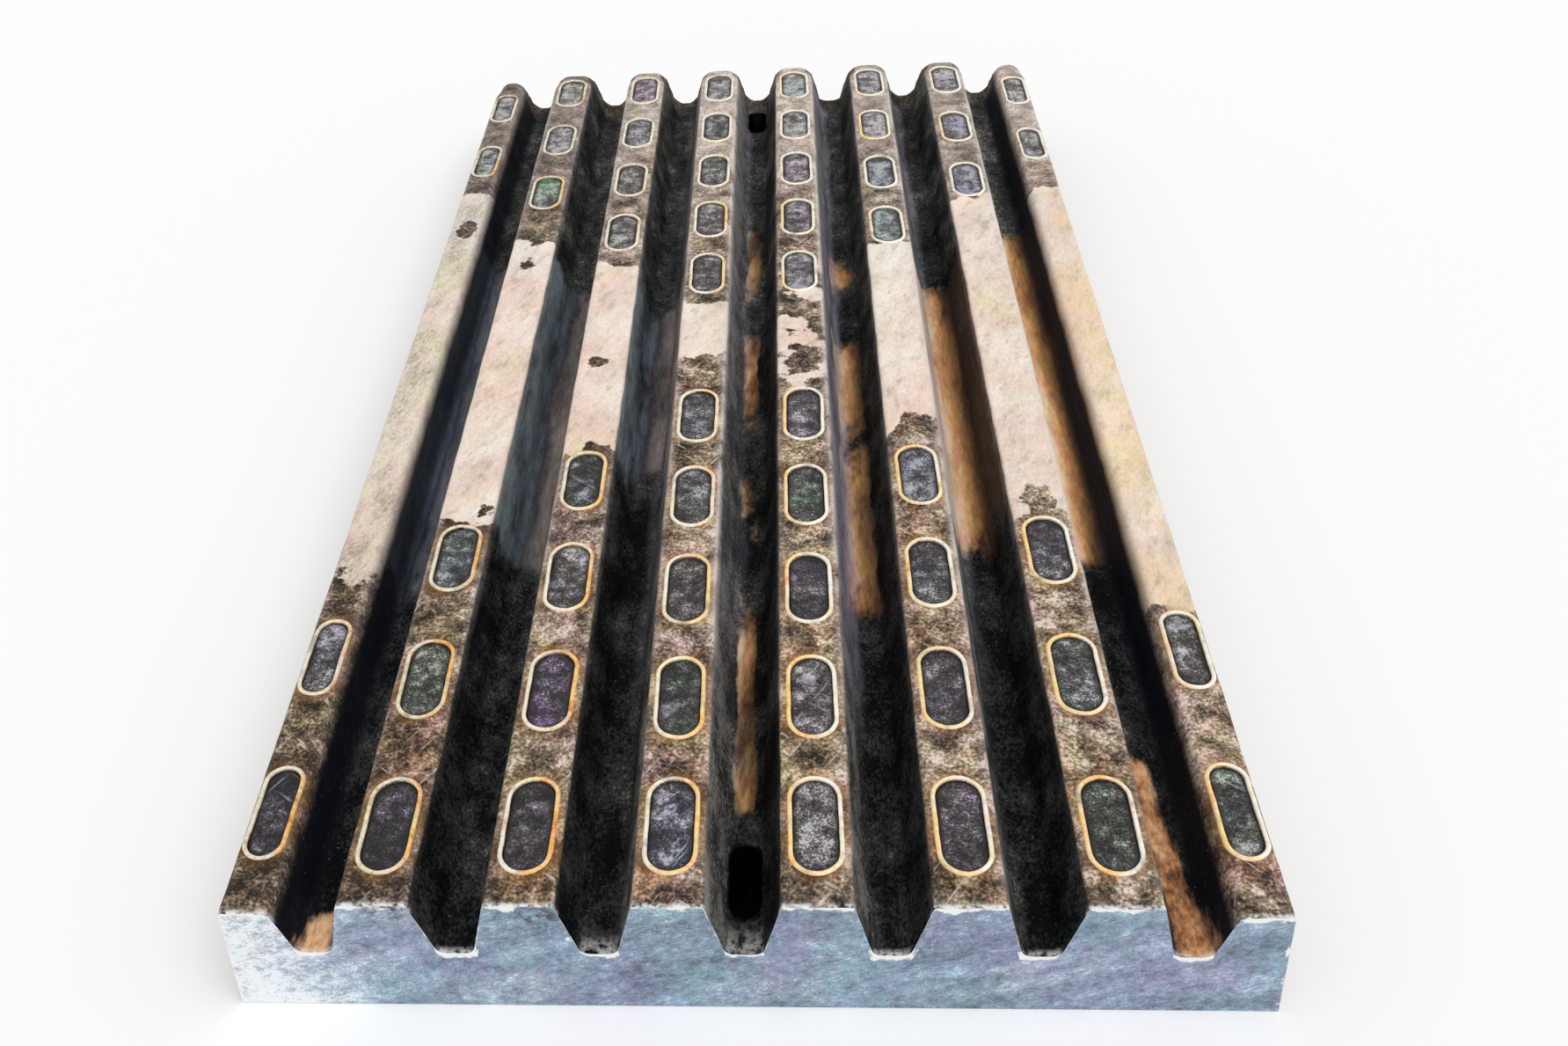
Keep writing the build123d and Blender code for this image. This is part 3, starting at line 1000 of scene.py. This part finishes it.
lipForm = {
    # out from the pocket and up from the crest, in mm
    "section": ((0.1, -2.5), (0.05, 0.6), (0.6, 1.3), (1.7, 1.7), (2.8, 1.2), (3.6, 0.3), (4.1, -1.5)),
    "wander": 1.5 * mm,
    "wanderScale": 70.0,
    "turn": 0.6,  # degrees
    "seed": 4,
}
insertForm = {
    "rounding": ((0.15, 1.2), (0.6, 0.35), (1.6, 0.05)),  # in from the wall, down from the top, in mm
    "innerRings": (0.2, 0.36, 0.52, 0.76),
    "wander": 0.6 * mm,
    "wanderScale": 80.0,
    "turn": 0.0,
    "seed": 7,
    "smoothAngle": 50.0,  # degrees
}
# inserts that stand out, by tooth, end and number
insertMarks = {
    "smear": {"4_front_1": 0.9, "5_front_2": 0.5, "3_front_3": 0.5, "3_front_4": 0.5, "8_front_2": 0.6,
              "8_front_1": 0.5, "6_front_4": 0.4, "1_front_1": 0.4, "4_front_2": 0.3},
    "violet": {"3_front_2": 0.7, "6_front_2": 0.55, "5_front_3": 0.6, "6_front_1": 0.3, "7_rear_3": 0.5},
    "green": {"4_front_2": 0.55, "2_front_2": 0.45, "2_front_3": 0.5, "5_front_4": 0.5, "7_front_1": 0.4,
              "2_rear_3": 0.7},
    "blue": {"4_front_1": 0.5, "2_front_1": 0.4, "1_front_1": 0.35, "6_front_4": 0.3},
    "bright": {"5_front_1": 0.57, "4_front_1": 0.5, "3_front_1": 0.24, "2_front_1": 0.16, "1_front_1": 0.1},
}
lookSeed = 21


def setOnCrestsTree():
    tree = bpy.data.node_groups.new("setOnCrests", "GeometryNodeTree")
    pen = Pen(tree)
    inputs = {"Geometry": "Geometry", "Crest blank": "Object", "Edge blank": "Object", "Finish": "Material",
              "Wander": "Float", "Wander scale": "Float", "Turn": "Float", "Seed": "Int"}
    for label, kind in inputs.items():
        tree.interface.new_socket(label, in_out="INPUT", socket_type="NodeSocket" + kind)
    tree.interface.new_socket("Geometry", in_out="OUTPUT", socket_type="NodeSocketGeometry")
    given = tree.nodes.new("NodeGroupInput").outputs
    result = tree.nodes.new("NodeGroupOutput").inputs

    blanks = pen.add("GeometryNodeGeometryToInstance")
    for label in ("Edge blank", "Crest blank"):
        source = pen.add("GeometryNodeObjectInfo", {"Object": given[label], "As Instance": True})
        tree.links.new(source.outputs["Geometry"], blanks.inputs[0])
    edge = pen.add("GeometryNodeInputNamedAttribute", {"Name": "edgeTooth"}, data_type="INT")
    limits = {"Seed": given["Seed"]}
    for label, side in (("Min", -1), ("Max", 1)):
        limit = pen.add("ShaderNodeVectorMath", {0: (0, 0, side), "Scale": given["Turn"]}, operation="SCALE")
        limits[label] = limit.outputs[0]
    turn = pen.add("FunctionNodeRandomValue", limits, data_type="FLOAT_VECTOR")
    placed = pen.add("GeometryNodeInstanceOnPoints", {
        "Points": given["Geometry"], "Instance": blanks.outputs[0], "Pick Instance": True,
        "Instance Index": edge.outputs["Attribute"], "Rotation": turn.outputs["Value"]})
    solid = pen.add("GeometryNodeRealizeInstances", {"Geometry": placed.outputs["Instances"]})
    cloud = pen.add("ShaderNodeTexNoise", {"Scale": given["Wander scale"], "Detail": 2.0})
    centred = pen.add("ShaderNodeVectorMath", {0: cloud.outputs["Color"], 1: (0.5, 0.5, 0.5)},
                      operation="SUBTRACT")
    offset = pen.add("ShaderNodeVectorMath", {0: centred.outputs[0], "Scale": given["Wander"]},
                     operation="SCALE")
    moved = pen.add("GeometryNodeSetPosition", {"Geometry": solid.outputs[0], "Offset": offset.outputs[0]})
    softened = pen.add("GeometryNodeSetShadeSmooth", {"Geometry": moved.outputs[0]})
    dressed = pen.add("GeometryNodeSetMaterial",
                      {"Geometry": softened.outputs[0], "Material": given["Finish"]})
    pen.feed(dressed.outputs[0], result["Geometry"])
    return tree


def crestPoints():
    # one point on the crest for each insert, with the looks it passes on
    draw = np.random.default_rng(lookSeed)
    spots, edges = [], []
    looks = {label: [] for label in ("gold", "goldSide", "bright", "violet", "green", "blue", "smear")}
    for name, box in insertBoxes.items():
        tooth = toothOf(name)
        x, y = planOf(box)[0]
        spots.append((x, y, crestHeights[tooth]))
        edges.append(int(tooth in (0, toothCount - 1)))
        rearwards = np.clip((y - plateLow.y) / (plateHigh.y - plateLow.y), 0, 1)
        golden = 0.42 - 0.58 * rearwards + 0.16 * ramp(x, -0.3, 0.0) - 0.22 * edges[-1]
        looks["gold"].append(np.clip(golden + draw.normal(0, 0.1), 0, 1))
        looks["goldSide"].append(-np.sign(x))
        bright = draw.normal(0.38 + 0.42 * rearwards, 0.08)
        usual = {"bright": bright, "smear": max(draw.normal(-0.1, 0.15), 0)}
        for label in ("bright", "violet", "green", "blue", "smear"):
            given = usual.get(label, np.clip(draw.normal(0.1, 0.12), 0, 0.4))
            looks[label].append(insertMarks[label].get(name.removeprefix("insert_tooth_"), given))
    mesh = bpy.data.meshes.new("insertSpots")
    mesh.from_pydata(spots, [], [])
    for label, values in looks.items():
        addValues(mesh, label, values)
    layer = mesh.attributes.new("edgeTooth", "INT", "POINT")
    layer.data.foreach_set("value", edges)
    return mesh


def lipBlank(box):
    width, length = planOf(box)[1]
    rings = [obroundRing(width, length, out * mm, up * mm, 14, 6) for out, up in lipForm["section"]]
    mesh = loftRings(bpy.data.meshes.new("lipBlank"), rings, True)
    addValues(mesh, "lipSide", vertexPlaces(mesh)[:, 0] / width * 2)
    return mesh


def insertBlank(box):
    width, length = planOf(box)[1]
    top = -plateForm["insertRecess"]
    levels = [(0, box[0].z - box[1].z + top)]
    levels += [(inwards * mm, top - down * mm) for inwards, down in insertForm["rounding"]]
    levels += [(share * width / 2, top) for share in insertForm["innerRings"]]
    rings = [obroundRing(width, length, -inwards, height, 12, 8) for inwards, height in levels]
    mesh = loftRings(bpy.data.meshes.new("insertBlank"), rings, False)
    addValues(mesh, "fromWall", np.repeat([inwards for inwards, height in levels], len(rings[0])))
    return mesh


def setOnCrests(name, tree, form, makeBlank, finish):
    crestBlank = linkMesh(name + "CrestBlank", makeBlank(firstInserts[1]))
    edgeBlank = linkMesh(name + "EdgeBlank", makeBlank(firstInserts[0]))
    carrier = linkMesh(name + "Spots", crestPoints())
    sockets = {item.name: item.identifier for item in tree.interface.items_tree if item.in_out == "INPUT"}
    setter = carrier.modifiers.new("setOnCrests", "NODES")
    setter.node_group = tree
    inputs = {"Crest blank": crestBlank, "Edge blank": edgeBlank, "Finish": finish, "Wander": form["wander"],
              "Wander scale": form["wanderScale"], "Turn": math.radians(form["turn"]), "Seed": form["seed"]}
    for label, value in inputs.items():
        setter[sockets[label]] = value
    mesh = frozenMesh(carrier, name)
    for helper in (carrier, crestBlank, edgeBlank):
        bpy.data.objects.remove(helper)
    piece = linkMesh(name, mesh)
    print(name + ":", len(mesh.polygons), "faces")
    return piece


def buildLipsAndInserts():
    tree = setOnCrestsTree()
    lips = setOnCrests("pocketLips", tree, lipForm, lipBlank, lipFinish())
    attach(lips, "root")
    inserts = setOnCrests("wearInserts", tree, insertForm, insertBlank, insertFinish())
    inserts.data.set_sharp_from_angle(angle=math.radians(insertForm["smoothAngle"]))
    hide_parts(*insertBoxes)
    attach(inserts, "root")


# floor, light and camera

stageSet = {
    "floorColour": (250, 250, 250),
    "floorSize": 40.0,
    "floorGap": 0.4 * mm,  # below the plate
    "slotShadowColour": (14, 14, 15),
    "slotShadowInset": 45 * mm,  # a sheet of painted shadow inside the plate's back, so that it shows only through the slots
    "slotShadowGap": 0.2 * mm,
    "worldLight": 0.55,
    "keyStrength": 1.7,
    "keySpread": 60.0,  # degrees
    "keyTilt": (24.0, 14.0, 0.0),
    "cameraPlace": (0.0381, -1.3504, 1.0069),
    "cameraTurn": (49.80, 3.32, 2.555),
    "lens": 33.17,
    "frameShift": 0.0625,
}


def layFlat(name, halfWidth, halfLength, height, colour):
    mesh = bpy.data.meshes.new(name)
    corners = ((-1, -1), (1, -1), (1, 1), (-1, 1))
    mesh.from_pydata([(sx * halfWidth, sy * halfLength, height) for sx, sy in corners], [], [(0, 1, 2, 3)])
    finish = bpy.data.materials.new(name)
    finish.use_nodes = True
    shader = finish.node_tree.nodes["Principled BSDF"]
    shader.inputs["Base Color"].default_value = srgb(*colour)
    shader.inputs["Roughness"].default_value = 0.9
    shader.inputs["Specular IOR Level"].default_value = 0.0
    mesh.materials.append(finish)
    linkMesh(name, mesh)


def linkTurned(name, data, turns):
    obj = bpy.data.objects.new(name, data)
    obj.rotation_euler = [math.radians(turn) for turn in turns]
    scene.collection.objects.link(obj)
    return obj


def buildStage():
    look = stageSet
    half = look["floorSize"] / 2
    layFlat("studioFloor", half, half, plateLow.z - look["floorGap"], look["floorColour"])
    # painted shadow: a near-black sheet under the plate that darkens the bolt slots
    layFlat("restingMat", plateHigh.x - look["slotShadowInset"], plateHigh.y - look["slotShadowInset"],
            plateLow.z - look["slotShadowGap"], look["slotShadowColour"])

    world = bpy.data.worlds.new("studioWorld")
    scene.world = world
    world.use_nodes = True
    pen = Pen(world.node_tree)
    sky = world.node_tree.nodes["Background"]
    sky.inputs["Color"].default_value = (1, 1, 1, 1)
    path = pen.add("ShaderNodeLightPath").outputs
    seen = pen.calc("MAXIMUM", path["Is Camera Ray"], path["Is Glossy Ray"], path["Is Transmission Ray"])
    light = pen.add("ShaderNodeMapRange", {"Value": seen, "To Min": look["worldLight"], "To Max": 1.0})
    pen.feed(light.outputs["Result"], sky.inputs["Strength"])

    lamp = bpy.data.lights.new("softKey", "SUN")
    lamp.energy = look["keyStrength"]
    lamp.angle = math.radians(look["keySpread"])
    linkTurned("softKey", lamp, look["keyTilt"])

    lens = bpy.data.cameras.new("photoView")
    lens.lens = look["lens"]
    lens.shift_x = look["frameShift"]
    scene.camera = linkTurned("photoView", lens, look["cameraTurn"])
    scene.camera.location = look["cameraPlace"]
    scene.view_settings.view_transform = "Standard"
    print("stage set")


buildCasting()
buildLipsAndInserts()
buildStage()
